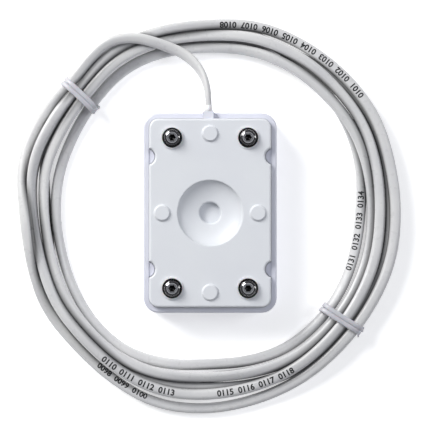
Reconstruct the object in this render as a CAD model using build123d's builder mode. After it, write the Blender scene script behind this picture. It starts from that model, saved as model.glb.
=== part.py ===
from build123d import *

import os
from math import cos, pi, radians, sin, sqrt, tan

# A surface water-leak sensor with its coiled two-core lead. It lies on its back:
# the back of the case is on z = 0, the sensing face with its four probes looks up,
# and the cable leaves the end wall at +Y. Millimetres.

os.makedirs("parts", exist_ok=True)

# ---- Case -------------------------------------------------------------------
case_width = 50.8
case_length = 76.2
shell_height = 14.6
shell_wall = 2.0
shell_floor = 2.0
case_corner_radius = 5.8
back_edge_radius = 2.0
rim_edge_radius = 0.8
ledge_width = 1.6
ledge_height = 10.2
floor_rib_height = 2.0
floor_rib_width = 1.2
floor_rib_spacing = 24.0

# ---- Sensing plate ----------------------------------------------------------
plate_gap = 0.15
plate_proud = 2.8
plate_thickness = 2.0
plate_edge_radius = 0.9
skirt_thickness = 1.6
bowl_radius = 12.4
bowl_depth = 4.2
bowl_wall = 1.6
bowl_rim_radius = 0.5
recess_radius = 4.0
recess_depth = 2.4
recess_rim_radius = 0.8
recess_wall = 1.4
pad_radius = 3.3
pad_height = 0.8
pad_slope = 0.7
pad_inset_x = 5.0
pad_inset_y = 5.7

# ---- Snap hooks in the plate's four edge pockets ----------------------------
pocket_radius = 3.2
pocket_reach = 2.3
pocket_inset_y = 14.45
pocket_sink = 2.0
pocket_floor = 1.4
pocket_wall = 1.4
hook_side_gap = 0.25
hook_drop_gap = 0.2
hook_height = 1.4

# ---- Seam gasket ------------------------------------------------------------
gasket_thickness = 0.8
gasket_width = 1.4

# ---- Probes: M4 button-head socket screws -----------------------------------
probe_inset_x = 8.8
probe_inset_y = 7.3
screw_radius = 2.0
screw_length = 14.0
head_radius = 3.8
head_height = 2.2
head_rim_height = 0.45
head_top_radius = 2.15
socket_across_flats = 2.5
socket_depth = 1.3
socket_mouth_radius = 1.8
socket_mouth_depth = 0.35
socket_point_depth = 0.5
screw_tip_chamfer = 0.4
screw_hole_gap = 0.15
nut_thread_gap = 0.05
nut_across_flats = 7.0
nut_thickness = 3.2
seal_radius = 4.3
seal_thickness = 0.5
lock_washer_radius = 3.5
lock_washer_thickness = 0.9
lock_washer_split = 0.6
boss_radius = 4.0
boss_length = 4.4

# ---- Circuit board ----------------------------------------------------------
board_thickness = 1.6
board_gap = 0.6
board_corner_radius = 2.0
board_recess_gap = 0.8
board_notch_gap = 3.5
board_notch_depth = 10.0
resistor_radius = 1.15
resistor_length = 6.3
resistor_lead_radius = 0.3
resistor_pitch = 10.0
resistor_y = -20.0
resistor_lift = 0.3
lead_hole_gap = 0.15
solder_radius = 1.2
solder_height = 1.0

# ---- Cable ------------------------------------------------------------------
cable_width = 4.2
cable_thickness = 2.5
cable_x = -0.6
grommet_wall = 0.7
grommet_fit = 0.1
grommet_ear = 0.35
grommet_ear_length = 0.6
cable_fit = 0.05
ferrule_wall = 0.5
ferrule_length = 3.0
ferrule_gap = 0.2
jacket_end_gap = 2.0
core_radius = 0.65
core_spacing = 1.5
core_spread = 4.4
core_lift = 0.2
red_core_bow = 0.7
black_core_bow = -0.05
core_reach = 11.5
seam_slot_width = 5.0
seam_slot_depth = 1.6

# ---- Coil of cable and its two ties -----------------------------------------
coil_centre_x = -0.7
coil_centre_y = 1.0
coil_mean_radius = 66.2
coil_oval = 1.36
coil_tied_half_width = 8.0
coil_loose_half_width = 9.6
coil_height = 9.0
coil_edge_radius = 3.4
coil_outline_points = 16
upper_tie_angle = 138.1
lower_tie_angle = 320.8
tie_span = 16.4
tie_width = 3.7
tie_thickness = 0.9
tie_corner_radius = 3.4
tie_groove = 0.4
free_end_angle = 24.0
free_end_pocket_length = 28.0
free_end_pocket_width = 5.0
free_end_pocket_height = 2.6
free_core_length = 15.0
bare_core_length = 8.0
bare_core_radius = 0.35

# ---- Levels and places worked out from the sizes above ----------------------
plate_top = shell_height + plate_proud
plate_underside = plate_top - plate_thickness
plate_width = case_width - 2 * (shell_wall + plate_gap)
plate_length = case_length - 2 * (shell_wall + plate_gap)
plate_corner_radius = case_corner_radius - shell_wall - plate_gap
gasket_top = ledge_height + gasket_thickness
board_top = plate_underside - boss_length
board_bottom = board_top - board_thickness
lock_washer_bottom = board_bottom - lock_washer_thickness
nut_bottom = lock_washer_bottom - nut_thickness
head_bottom = plate_top + seal_thickness
pocket_level = shell_height - pocket_sink
hook_bottom = pocket_level + hook_drop_gap
recess_floor = plate_top - bowl_depth - recess_depth
cable_z = shell_height - cable_width / 2
grommet_width = cable_thickness + 2 * grommet_wall
grommet_height = cable_width + 2 * grommet_wall
grommet_bottom = cable_z - grommet_height / 2
wall_face_y = case_length / 2
exit_y = wall_face_y + grommet_ear_length
skirt_face_y = plate_length / 2 - skirt_thickness
ear_face_y = skirt_face_y - cable_fit
ferrule_face_y = ear_face_y - grommet_ear_length - ferrule_gap
jacket_end_y = ferrule_face_y - ferrule_length - jacket_end_gap
core_end_y = jacket_end_y - core_reach

probe_x = plate_width / 2 - probe_inset_x
probe_y = plate_length / 2 - probe_inset_y
probe_places = {
    "upper_left": (-probe_x, probe_y),
    "upper_right": (probe_x, probe_y),
    "lower_left": (-probe_x, -probe_y),
    "lower_right": (probe_x, -probe_y),
}
pocket_x = plate_width / 2 - pocket_reach + pocket_radius
pocket_y = plate_length / 2 - pocket_inset_y
pocket_places = [(sx * pocket_x, sy * pocket_y) for sx in (-1, 1) for sy in (-1, 1)]
pad_x = plate_width / 2 - pad_inset_x
pad_y = plate_length / 2 - pad_inset_y
pad_places = [(-pad_x, 0), (pad_x, 0), (0, -pad_y), (0, pad_y)]


def save(piece, name):
    """Label a finished piece and write its STEP file."""
    piece.part.label = name
    export_step(piece.part, f"parts/{name}.step")


def wall_plane(y):
    """An upright plane across the case at y: its x is +X, its y is +Z, and it extrudes towards -Y."""
    return Plane.XZ.offset(-y)


def coil_radius(angle):
    """Distance from the coil's centre to the middle of the bundle: a slightly oval ring."""
    return coil_mean_radius - coil_oval * cos(radians(2 * angle))


def coil_half_width(angle):
    """Half the bundle's width, narrowest where the two opposite ties squeeze it."""
    swell = sin(radians(angle - upper_tie_angle)) ** 2
    return coil_tied_half_width + (coil_loose_half_width - coil_tied_half_width) * swell


def coil_point(angle, offset):
    """A point in plan at an angle about the coil's centre, offset outwards from the bundle's middle."""
    reach = coil_radius(angle) + offset
    return (coil_centre_x + reach * cos(radians(angle)), coil_centre_y + reach * sin(radians(angle)))


def coil_section_plane(angle, height):
    """An upright plane across the bundle: its x points outwards and its y points up."""
    x, y = coil_point(angle, 0)
    a = radians(angle)
    return Plane(origin=(x, y, height), x_dir=(cos(a), sin(a), 0), z_dir=(sin(a), -cos(a), 0))


# ---- Housing shell: back, walls, gasket ledge, snap hooks and cable slot ------
with BuildPart() as housing_shell:
    with BuildSketch():
        RectangleRounded(case_width, case_length, case_corner_radius)
    extrude(amount=shell_height)
    fillet(housing_shell.faces().sort_by(Axis.Z)[0].outer_wire().edges(), back_edge_radius)
    fillet(housing_shell.faces().sort_by(Axis.Z)[-1].outer_wire().edges(), rim_edge_radius)
    with BuildSketch(Plane.XY.offset(shell_floor)):
        inset = shell_wall + ledge_width
        RectangleRounded(
            case_width - 2 * inset, case_length - 2 * inset, case_corner_radius - inset
        )
    extrude(amount=ledge_height - shell_floor, mode=Mode.SUBTRACT)
    with BuildSketch(Plane.XY.offset(ledge_height)):
        RectangleRounded(
            case_width - 2 * shell_wall, case_length - 2 * shell_wall, case_corner_radius - shell_wall
        )
    extrude(amount=shell_height - ledge_height, mode=Mode.SUBTRACT)
    with BuildSketch(Plane.XY.offset(shell_floor)):
        Rectangle(floor_rib_width, case_length - 2 * shell_wall)
        with GridLocations(0, floor_rib_spacing, 1, 2):
            Rectangle(case_width - 2 * shell_wall, floor_rib_width)
    extrude(amount=floor_rib_height)
    with BuildSketch(Plane.XY.offset(hook_bottom)):
        with Locations(*pocket_places):
            Circle(pocket_radius - hook_side_gap)
        Rectangle(case_width - shell_wall, case_length, mode=Mode.INTERSECT)
    extrude(amount=hook_height)
    with BuildSketch(wall_plane(exit_y)):
        with Locations((cable_x, grommet_bottom - grommet_fit)):
            Rectangle(grommet_width + 2 * grommet_fit, shell_height, align=(Align.CENTER, Align.MIN))
        with Locations((cable_x + grommet_width / 2, shell_height - seam_slot_depth)):
            Rectangle(grommet_ear + seam_slot_width, shell_height, align=Align.MIN)
    extrude(amount=grommet_ear_length + shell_wall + plate_gap, mode=Mode.SUBTRACT)
    with BuildSketch(wall_plane(exit_y)):
        with Locations((cable_x, grommet_bottom - grommet_fit)):
            Rectangle(grommet_width + 2 * grommet_fit, shell_height, align=(Align.CENTER, Align.MIN))
    extrude(amount=grommet_ear_length + shell_wall + ledge_width, mode=Mode.SUBTRACT)
save(housing_shell, "housing_shell")

# ---- Sensing plate: raised face, bowl and blind recess, pads, bosses, pockets --
with BuildPart() as sensing_plate:
    with BuildSketch(Plane.XY.offset(gasket_top)):
        RectangleRounded(plate_width, plate_length, plate_corner_radius)
    extrude(amount=plate_top - gasket_top)
    with BuildSketch(Plane.XY.offset(gasket_top)):
        RectangleRounded(
            plate_width - 2 * skirt_thickness,
            plate_length - 2 * skirt_thickness,
            plate_corner_radius - skirt_thickness,
        )
    extrude(amount=plate_underside - gasket_top, mode=Mode.SUBTRACT)
    with BuildSketch(Plane.XY.offset(pocket_level - pocket_floor)):
        with Locations(*pocket_places):
            Circle(pocket_radius + pocket_wall)
        RectangleRounded(plate_width, plate_length, plate_corner_radius, mode=Mode.INTERSECT)
    extrude(amount=plate_top - plate_thickness / 2 - pocket_level + pocket_floor)
    with BuildSketch(Plane.XY.offset(pocket_level)):
        with Locations(*pocket_places):
            Circle(pocket_radius)
    extrude(amount=plate_top - pocket_level, mode=Mode.SUBTRACT)
    fillet(sensing_plate.faces().sort_by(Axis.Z)[-1].outer_wire().edges(), plate_edge_radius)
    with BuildSketch(Plane.XY.offset(board_top)):
        with Locations(*probe_places.values()):
            Circle(boss_radius)
    extrude(amount=boss_length)
    with BuildSketch(Plane.XZ):
        with Locations((0, plate_top)):
            Ellipse(bowl_radius + bowl_wall, bowl_depth + bowl_wall)
        with Locations((0, recess_floor - recess_wall)):
            Rectangle(recess_radius + recess_wall, bowl_depth + recess_depth, align=Align.MIN)
        with Locations((0, recess_floor - recess_wall)):
            Rectangle(
                bowl_radius + bowl_wall,
                plate_top - plate_thickness / 2 - recess_floor + recess_wall,
                align=Align.MIN,
                mode=Mode.INTERSECT,
            )
    revolve(axis=Axis.Z)
    with BuildSketch(Plane.XZ):
        with Locations((0, plate_top)):
            Ellipse(bowl_radius, bowl_depth)
        with Locations((0, recess_floor)):
            Rectangle(recess_radius, bowl_depth + recess_depth, align=Align.MIN)
        with Locations((0, recess_floor)):
            Rectangle(bowl_radius, bowl_depth + recess_depth, align=Align.MIN, mode=Mode.INTERSECT)
    revolve(axis=Axis.Z, mode=Mode.SUBTRACT)
    bowl_edges = sensing_plate.edges().filter_by(GeomType.CIRCLE)
    bowl_edges = bowl_edges.filter_by(lambda e: Vector(e.arc_center.X, e.arc_center.Y).length < plate_gap)
    bowl_rim = bowl_edges.filter_by(lambda e: abs(e.radius - bowl_radius) < plate_gap)
    recess_rim = bowl_edges.filter_by(lambda e: abs(e.radius - recess_radius) < plate_gap).sort_by(Axis.Z)[-1]
    fillet(bowl_rim, bowl_rim_radius)
    fillet(recess_rim, recess_rim_radius)
    with BuildSketch(Plane.XY.offset(plate_top)):
        with Locations(*pad_places):
            Circle(pad_radius)
    extrude(amount=pad_height)
    pad_rims = sensing_plate.edges().group_by(Axis.Z)[-1]
    chamfer(pad_rims, pad_slope)
    with BuildSketch(Plane.XY.offset(board_top)):
        with Locations(*probe_places.values()):
            Circle(screw_radius + screw_hole_gap)
    extrude(amount=plate_top - board_top, mode=Mode.SUBTRACT)
    with BuildSketch(wall_plane(plate_length / 2)):
        with Locations((cable_x, gasket_top)):
            Rectangle(
                grommet_width + 2 * grommet_fit,
                grommet_bottom + grommet_height + grommet_fit - gasket_top,
                align=(Align.CENTER, Align.MIN),
            )
    extrude(amount=skirt_thickness, mode=Mode.SUBTRACT)
    with BuildSketch(wall_plane(skirt_face_y)):
        with Locations((cable_x, gasket_top)):
            Rectangle(
                grommet_width + 2 * (grommet_ear + grommet_fit),
                grommet_bottom + grommet_height + grommet_fit - gasket_top,
                align=(Align.CENTER, Align.MIN),
            )
    extrude(amount=skirt_face_y - jacket_end_y, mode=Mode.SUBTRACT)
save(sensing_plate, "sensing_plate")

# ---- Seam gasket: a flat ring on the ledge, open where the grommet passes ------
with BuildPart() as seam_gasket:
    with BuildSketch(Plane.XY.offset(ledge_height)):
        RectangleRounded(plate_width, plate_length, plate_corner_radius)
        RectangleRounded(
            plate_width - 2 * gasket_width,
            plate_length - 2 * gasket_width,
            plate_corner_radius - gasket_width,
            mode=Mode.SUBTRACT,
        )
        with Locations((cable_x, plate_length / 2)):
            Rectangle(grommet_width + 2 * grommet_fit, 4 * gasket_width, mode=Mode.SUBTRACT)
    extrude(amount=gasket_thickness)
save(seam_gasket, "seam_gasket")


# ---- Probes: four sets of screw, sealing washer, lock washer and nut -----------
def make_probe_screw(place, name):
    """A domed head with a hexagon socket over a plain shank."""
    dome_centre = (head_radius**2 + head_rim_height**2 - head_top_radius**2 - head_height**2) / (
        2 * (head_rim_height - head_height)
    )
    dome_radius = sqrt(head_radius**2 + (head_rim_height - dome_centre) ** 2)
    with BuildPart(Plane(origin=(*place, head_bottom))) as screw:
        with BuildSketch(Plane(origin=(*place, head_bottom), x_dir=(1, 0, 0), z_dir=(0, -1, 0))):
            with Locations((0, dome_centre)):
                Circle(dome_radius)
            Rectangle(head_radius, head_height, align=Align.MIN, mode=Mode.INTERSECT)
            Rectangle(screw_radius, screw_length, align=(Align.MIN, Align.MAX))
        revolve(axis=Axis((*place, 0), (0, 0, 1)))
        chamfer(screw.faces().sort_by(Axis.Z)[0].edges(), screw_tip_chamfer)
        with BuildSketch(Plane(origin=(*place, head_bottom + head_height))):
            RegularPolygon(socket_across_flats / 2, 6, major_radius=False)
        extrude(amount=-socket_depth, mode=Mode.SUBTRACT)
        with Locations((0, 0, head_height)):
            Cone(
                socket_mouth_radius - socket_mouth_depth,
                socket_mouth_radius,
                socket_mouth_depth,
                align=(Align.CENTER, Align.CENTER, Align.MAX),
                mode=Mode.SUBTRACT,
            )
        with Locations((0, 0, head_height - socket_depth)):
            Cone(
                0,
                socket_across_flats / 2,
                socket_point_depth,
                align=(Align.CENTER, Align.CENTER, Align.MAX),
                mode=Mode.SUBTRACT,
            )
    save(screw, name)


def make_sealing_washer(place, name):
    """A flat white washer that seals the screw hole under the head."""
    with BuildPart() as washer:
        with BuildSketch(Plane(origin=(*place, plate_top))):
            Circle(seal_radius)
            Circle(screw_radius + screw_hole_gap, mode=Mode.SUBTRACT)
        extrude(amount=seal_thickness)
    save(washer, name)


def make_lock_washer(place, name):
    """A split spring washer between the board and the nut."""
    with BuildPart() as washer:
        with BuildSketch(Plane(origin=(*place, lock_washer_bottom))):
            Circle(lock_washer_radius)
            Circle(screw_radius + screw_hole_gap, mode=Mode.SUBTRACT)
            Rectangle(
                lock_washer_radius, lock_washer_split, align=(Align.MIN, Align.CENTER), mode=Mode.SUBTRACT
            )
        extrude(amount=lock_washer_thickness)
    save(washer, name)


def make_nut(place, name):
    """A hexagon nut that clamps the board to the plate's boss."""
    with BuildPart() as nut:
        with BuildSketch(Plane(origin=(*place, nut_bottom))):
            RegularPolygon(nut_across_flats / 2, 6, major_radius=False)
            Circle(screw_radius + nut_thread_gap, mode=Mode.SUBTRACT)
        extrude(amount=nut_thickness)
    save(nut, name)


for corner, place in probe_places.items():
    make_probe_screw(place, f"probe_screw_{corner}")
    make_sealing_washer(place, f"sealing_washer_{corner}")
    make_lock_washer(place, f"lock_washer_{corner}")
    make_nut(place, f"hex_nut_{corner}")

# ---- Circuit board, clamped under the four bosses ------------------------------
board_inset = shell_wall + ledge_width + board_gap
resistor_ends = [(-resistor_pitch / 2, resistor_y), (resistor_pitch / 2, resistor_y)]
with BuildPart() as circuit_board:
    with BuildSketch(Plane.XY.offset(board_bottom)):
        RectangleRounded(case_width - 2 * board_inset, case_length - 2 * board_inset, board_corner_radius)
        Circle(recess_radius + recess_wall + board_recess_gap, mode=Mode.SUBTRACT)
        with Locations(*probe_places.values()):
            Circle(screw_radius + screw_hole_gap, mode=Mode.SUBTRACT)
        with Locations(*resistor_ends):
            Circle(resistor_lead_radius + lead_hole_gap, mode=Mode.SUBTRACT)
        with Locations((cable_x, case_length / 2 - board_inset)):
            Rectangle(
                cable_thickness + 2 * board_notch_gap,
                2 * board_notch_depth,
                mode=Mode.SUBTRACT,
            )
    extrude(amount=board_thickness)
save(circuit_board, "circuit_board")

# ---- End-of-line resistor: a body on two bent leads through the board -----------
resistor_axis_z = board_top + resistor_radius + resistor_lift
with BuildPart() as end_of_line_resistor:
    with BuildLine():
        FilletPolyline(
            (resistor_ends[0][0], resistor_y, board_bottom - solder_height),
            (resistor_ends[0][0], resistor_y, resistor_axis_z),
            (resistor_ends[1][0], resistor_y, resistor_axis_z),
            (resistor_ends[1][0], resistor_y, board_bottom - solder_height),
            radius=resistor_radius,
        )
    with BuildSketch(Plane.XY.offset(board_bottom - solder_height)):
        with Locations(resistor_ends[0]):
            Circle(resistor_lead_radius)
    sweep()
    with BuildSketch(Plane.YZ.offset(-resistor_length / 2)):
        with Locations((resistor_y, resistor_axis_z)):
            Circle(resistor_radius)
    extrude(amount=resistor_length)
save(end_of_line_resistor, "end_of_line_resistor")

# ---- Cable stub: the jacket through the grommet, standing on edge ---------------
with BuildPart() as cable_stub:
    with BuildSketch(wall_plane(exit_y)):
        with Locations((cable_x, cable_z)):
            SlotOverall(cable_width, cable_thickness, rotation=90)
    extrude(amount=exit_y - jacket_end_y)
save(cable_stub, "cable_stub")

# ---- Grommet: a sleeve with an ear each side, outside and inside the wall --------
with BuildPart() as cable_grommet:
    with BuildSketch(wall_plane(exit_y)):
        with Locations((cable_x, cable_z)):
            Rectangle(grommet_width + 2 * grommet_ear, grommet_height)
    extrude(amount=grommet_ear_length)
    with BuildSketch(wall_plane(wall_face_y)):
        with Locations((cable_x, cable_z)):
            Rectangle(grommet_width, grommet_height)
    extrude(amount=wall_face_y - ear_face_y)
    with BuildSketch(wall_plane(ear_face_y)):
        with Locations((cable_x, cable_z)):
            Rectangle(grommet_width + 2 * grommet_ear, grommet_height)
    extrude(amount=grommet_ear_length)
    with BuildSketch(wall_plane(exit_y)):
        with Locations((cable_x, cable_z)):
            SlotOverall(cable_width + 2 * cable_fit, cable_thickness + 2 * cable_fit, rotation=90)
    extrude(amount=exit_y - ear_face_y + grommet_ear_length, mode=Mode.SUBTRACT)
save(cable_grommet, "cable_grommet")

# ---- Ferrule crimped on the jacket, so that a pull can't draw the cable out ------
with BuildPart() as strain_relief_ferrule:
    with BuildSketch(wall_plane(ferrule_face_y)):
        with Locations((cable_x, cable_z)):
            SlotOverall(cable_width + 2 * ferrule_wall, cable_thickness + 2 * ferrule_wall, rotation=90)
            SlotOverall(cable_width, cable_thickness, rotation=90, mode=Mode.SUBTRACT)
    extrude(amount=ferrule_length)
save(strain_relief_ferrule, "strain_relief_ferrule")

# ---- The two insulated cores, from the jacket's end down to the board ------------
core_z = board_top + core_radius + core_lift
cores = {"red_core": (-1, 1, red_core_bow), "black_core": (1, -1, black_core_bow)}
core_parts = []
for name, (side, level, bow) in cores.items():
    start = (cable_x, jacket_end_y, cable_z + level * core_spacing / 2)
    end_x = cable_x + side * core_spread
    middle_y = (2 * jacket_end_y + core_end_y) / 3
    with BuildPart() as core:
        with BuildLine():
            FilletPolyline(
                start,
                (start[0], jacket_end_y - core_radius * 2, start[2]),
                (cable_x + side * core_spread / 2, (middle_y + core_end_y) / 2, core_z + bow),
                (end_x, core_end_y + core_radius * 3, core_z),
                (end_x, core_end_y, core_z),
                radius=core_radius * 1.2,
            )
        with BuildSketch(wall_plane(jacket_end_y)):
            with Locations((start[0], start[2])):
                Circle(core_radius)
        sweep()
    save(core, name)
    core_parts.append(core)

# ---- Solder: two joints on the cores' ends, two under the resistor's leads --------
with BuildPart() as solder_joints:
    with BuildSketch(Plane.XY.offset(board_top)):
        with Locations(*[(cable_x + side * core_spread, core_end_y) for side in (-1, 1)]):
            Circle(solder_radius)
    extrude(amount=core_z + core_radius - board_top)
    with BuildSketch(Plane.XY.offset(board_bottom)):
        with Locations(*resistor_ends):
            Circle(solder_radius)
    extrude(amount=-solder_height)
    for piece in (*core_parts, end_of_line_resistor):
        add(piece.part, mode=Mode.SUBTRACT)
save(solder_joints, "solder_joints")


# ---- Coil: the outer shape of the tied bundle, with the bites of its two ties -----
def tie_bite(angle):
    """The bundle's outside at a tie, between its width and the tie's inner face, as a closed solid."""
    with BuildPart(mode=Mode.PRIVATE) as bite:
        with BuildSketch(coil_section_plane(angle, coil_height / 2)):
            Rectangle(2 * tie_span, 2 * coil_height)
            RectangleRounded(
                tie_span - 2 * tie_thickness,
                coil_height - 2 * tie_thickness,
                tie_corner_radius - tie_thickness,
                mode=Mode.SUBTRACT,
            )
        extrude(amount=tie_width / 2, both=True)
    return bite.part


outline_angles = [360 * i / coil_outline_points for i in range(coil_outline_points)]
free_end = radians(free_end_angle)
free_end_tangent = (-sin(free_end), cos(free_end), 0)
free_end_middle = Vector(*coil_point(free_end_angle, 0), 0)
free_end_start = free_end_middle - Vector(*free_end_tangent) * (free_end_pocket_length / 2)
free_end_plane = Plane(
    origin=free_end_start, x_dir=(-cos(free_end), -sin(free_end), 0), z_dir=free_end_tangent
)
tie_bites = [tie_bite(angle) for angle in (upper_tie_angle, lower_tie_angle)]

with BuildPart() as cable_coil:
    with BuildSketch():
        for edge_sign, mode in ((1, Mode.ADD), (-1, Mode.SUBTRACT)):
            outline = [coil_point(a, edge_sign * coil_half_width(a)) for a in outline_angles]
            with BuildLine(mode=Mode.PRIVATE) as ring_edge:
                Spline(*outline, periodic=True)
            make_face(ring_edge.edges(), mode=mode)
    extrude(amount=coil_height)
    fillet(cable_coil.faces().filter_by(Axis.Z).edges(), coil_edge_radius)
    for bite in tie_bites:
        add(bite, mode=Mode.SUBTRACT)
    with BuildSketch(free_end_plane):
        Rectangle(free_end_pocket_width, free_end_pocket_height, align=(Align.CENTER, Align.MIN))
    extrude(amount=free_end_pocket_length, mode=Mode.SUBTRACT)
save(cable_coil, "cable_coil")

# ---- Ties: a band wrapped twice round the bundle, with the groove between wraps ----
for name, angle in (("upper_cable_tie", upper_tie_angle), ("lower_cable_tie", lower_tie_angle)):
    with BuildPart() as tie:
        for shrink, half_width, mode in (
            (0, tie_width / 2, Mode.ADD),
            (tie_thickness, tie_width / 2, Mode.SUBTRACT),
        ):
            with BuildSketch(coil_section_plane(angle, coil_height / 2)):
                RectangleRounded(
                    tie_span - 2 * shrink, coil_height - 2 * shrink, tie_corner_radius - shrink
                )
            extrude(amount=half_width, both=True, mode=mode)
        with BuildSketch(coil_section_plane(angle, coil_height / 2)):
            RectangleRounded(tie_span, coil_height, tie_corner_radius)
            RectangleRounded(
                tie_span - 2 * tie_groove,
                coil_height - 2 * tie_groove,
                tie_corner_radius - tie_groove,
                mode=Mode.SUBTRACT,
            )
        extrude(amount=tie_groove / 2, both=True, mode=Mode.SUBTRACT)
    save(tie, name)

# ---- Free end of the cable: two cores out of the jacket, their tips stripped -------
core_rest_z = free_end_pocket_height / 2
for name, side in (("free_red_core", -1), ("free_black_core", 1)):
    with BuildPart() as free_core:
        with BuildSketch(free_end_plane):
            with Locations((side * core_spacing / 2, core_rest_z)):
                Circle(core_radius)
        extrude(amount=free_core_length)
    save(free_core, name)

with BuildPart() as stripped_ends:
    with BuildSketch(free_end_plane.offset(free_core_length)):
        with Locations((-core_spacing / 2, core_rest_z), (core_spacing / 2, core_rest_z)):
            Circle(bare_core_radius)
    extrude(amount=bare_core_length)
save(stripped_ends, "stripped_ends")

# ---- Lead: the uncoiled stretch, from the grommet to the bundle's inner side --------
lead_route = [
    (cable_x, exit_y, cable_z),
    (cable_x, 44.0, cable_z),
    (-1.4, 49.2, 11.8),
    (-3.4, 54.0, 10.1),
    (-6.6, 58.2, 8.3),
    (-10.8, 61.4, 6.6),
]


def bend_radii(route):
    """For each corner of a route, 0.45 of its shorter run over the tangent of half its turn."""
    points = [Vector(*p) for p in route]
    radii = []
    for a, b, c in zip(points, points[1:], points[2:]):
        turn = radians((b - a).get_angle(c - b))
        radii.append(0.45 * min((b - a).length, (c - b).length) / tan(turn / 2))
    return radii


lead_radii = bend_radii(lead_route)
with BuildPart() as cable_lead:
    with BuildLine() as lead_line:
        FilletPolyline(*lead_route, radius=lead_radii)
    lead_path = lead_line.wires()[0]
    with BuildSketch(Plane(origin=lead_route[0], x_dir=(1, 0, 0), z_dir=lead_path % 0)):
        Circle(cable_width / 2)
    sweep()
    lead_length = lead_path.length
    print("lead radii:", [round(r, 1) for r in lead_radii])
    print("lead length:", round(lead_length, 2))
    print("volume:", cable_lead.part.volume, "section x length:", pi * cable_width**2 / 4 * lead_length)
    add(cable_coil.part, mode=Mode.SUBTRACT)
save(cable_lead, "cable_lead")
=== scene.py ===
import math

import bmesh
import bpy
import numpy as np
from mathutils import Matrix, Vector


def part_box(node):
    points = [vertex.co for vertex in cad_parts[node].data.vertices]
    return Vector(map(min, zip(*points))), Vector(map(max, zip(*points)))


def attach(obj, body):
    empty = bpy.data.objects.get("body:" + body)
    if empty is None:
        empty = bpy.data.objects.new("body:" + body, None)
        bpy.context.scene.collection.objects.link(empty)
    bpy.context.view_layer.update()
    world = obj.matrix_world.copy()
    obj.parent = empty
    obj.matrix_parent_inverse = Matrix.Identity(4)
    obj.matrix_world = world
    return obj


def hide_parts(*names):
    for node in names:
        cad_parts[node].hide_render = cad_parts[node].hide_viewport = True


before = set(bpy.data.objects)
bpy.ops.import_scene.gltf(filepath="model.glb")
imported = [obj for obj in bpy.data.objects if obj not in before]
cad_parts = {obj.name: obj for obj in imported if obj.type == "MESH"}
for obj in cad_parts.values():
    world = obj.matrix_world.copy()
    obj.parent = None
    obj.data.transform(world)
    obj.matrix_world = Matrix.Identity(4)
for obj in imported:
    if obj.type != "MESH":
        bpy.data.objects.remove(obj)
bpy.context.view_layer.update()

bl_info = {
    "name": "Surface Leak Sensor",
    "version": (1, 0, 0),
    "blender": (4, 5, 0),
    "location": "3D View > Sidebar > Leak Sensor",
    "description": "Builds a surface water-leak sensor with its coiled two-core lead",
    "category": "Object",
}

MM = 0.001
BODY = "root"
RED = (0.50, 0.02, 0.015)
BLACK = (0.012, 0.012, 0.014)
CORNERS = ("upper_left", "upper_right", "lower_left", "lower_right")

# The flat cable rolled by an angle is HALF_THICKNESS + HALF_SPREAD * |sin| tall and the same with |cos|
# wide, from its middle, in millimetres.
HALF_THICKNESS = 1.25
HALF_SPREAD = 0.85
# Directions of the two ties from the bundle's centre, in degrees.
TIE_ANGLES = (137.1, 321.8)
TIE_LIFT = 0.9
TIE_LIFT_SPREAD = 4
# Share of their joint half widths within which one turn is lifted over another.
NESTING = 0.9

# The lead's route from the grommet to the bundle's inner side, in metres.
LEAD_ROUTE = [
    (-0.0006, 0.0387, 0.0125),
    (-0.0006, 0.0440, 0.0125),
    (-0.0014, 0.0492, 0.0118),
    (-0.0034, 0.0540, 0.0105),
    (-0.0066, 0.0582, 0.0094),
    (-0.0108, 0.0614, 0.0086),
]

# Plan of the bundle. Radii in millimetres about the bundle's centre, one every 20 degrees
# anticlockwise from +X: the middle of the innermost and of the outermost strand.
BUNDLE_CENTRE = (-1.03, -0.19)
INNER_RADII = [
    58.1, 60.4, 60.6, 61.7, 61.5, 62.3, 63.4, 60.4, 59.2,
    58.1, 57.5, 59.2, 60.7, 58.4, 58.1, 60.0, 59.4, 58.8,
]
OUTER_RADII = [
    72.3, 73.4, 75.2, 75.7, 76.0, 74.4, 75.6, 72.4, 74.4,
    69.9, 70.8, 71.5, 73.2, 75.9, 74.2, 73.0, 71.7, 72.4,
]
TOP_LANES = 3
# Distance, in a turn's half sizes, within which painted shade darkens the jacket between touching turns.
CREASE_REACH = 2.15
# How much of the cable's half thickness is lost from its middle to its edges.
CROWN = 0.28

# The cable is wound anticlockwise. Each row is one turn, from where the lead joins the bundle down to
# the free end: its lane every 45 degrees from 135 degrees on, 0 innermost and 3 outermost.
LANE_START = 135
LANE_STEP = 45
LANES = [
    [3.0, 3.0, 3.0, 3.0, 3.0, 3.0, 2.85, 2.5],
    [2.0, 2.25, 1.9, 2.1, 1.8, 1.7, 1.75, 1.6],
    [0.95, 1.2, 1.1, 0.8, 1.1, 1.1, 0.75, 0.5],
    [0.0, 0.0, 0.35, 0.0, 0.0, 0.0, 0.9, 2.3],
    [1.5, 2.5, 1.5, 1.5, 2.5, 2.5, 2.4, 0.6],
    [2.5, 0.5, 2.5, 0.6, 1.5, 2.3, 1.7, 1.7],
]
# How far the broad side is rolled from flat, in degrees, at the same stations.
ROLLS = [
    [18, -28, 40, 26, -16, 22, -14, 24],
    [-16, 64, -22, 16, -28, 14, 28, -20],
    [28, -50, 48, -44, 20, -26, 16, 28],
    [-22, 32, 36, -18, 30, 20, -32, 16],
    [10, -18, 14, 20, -14, 10, 18, -12],
    [-8, 12, -16, 8, 14, -6, 0, 0],
]
# The room's tone by the upward share of the direction: a low band of windows, dark walls, pale ceiling.
ROOM = (
    (0.06, (0.01, 0.01, 0.011)),
    (0.14, (0.22, 0.22, 0.24)),
    (0.26, (0.22, 0.22, 0.24)),
    (0.36, (0.01, 0.01, 0.011)),
    (0.56, (0.01, 0.01, 0.011)),
    (0.80, (0.92, 0.94, 1.0)),
)
FLOOR_GLOW = 0.38
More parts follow.
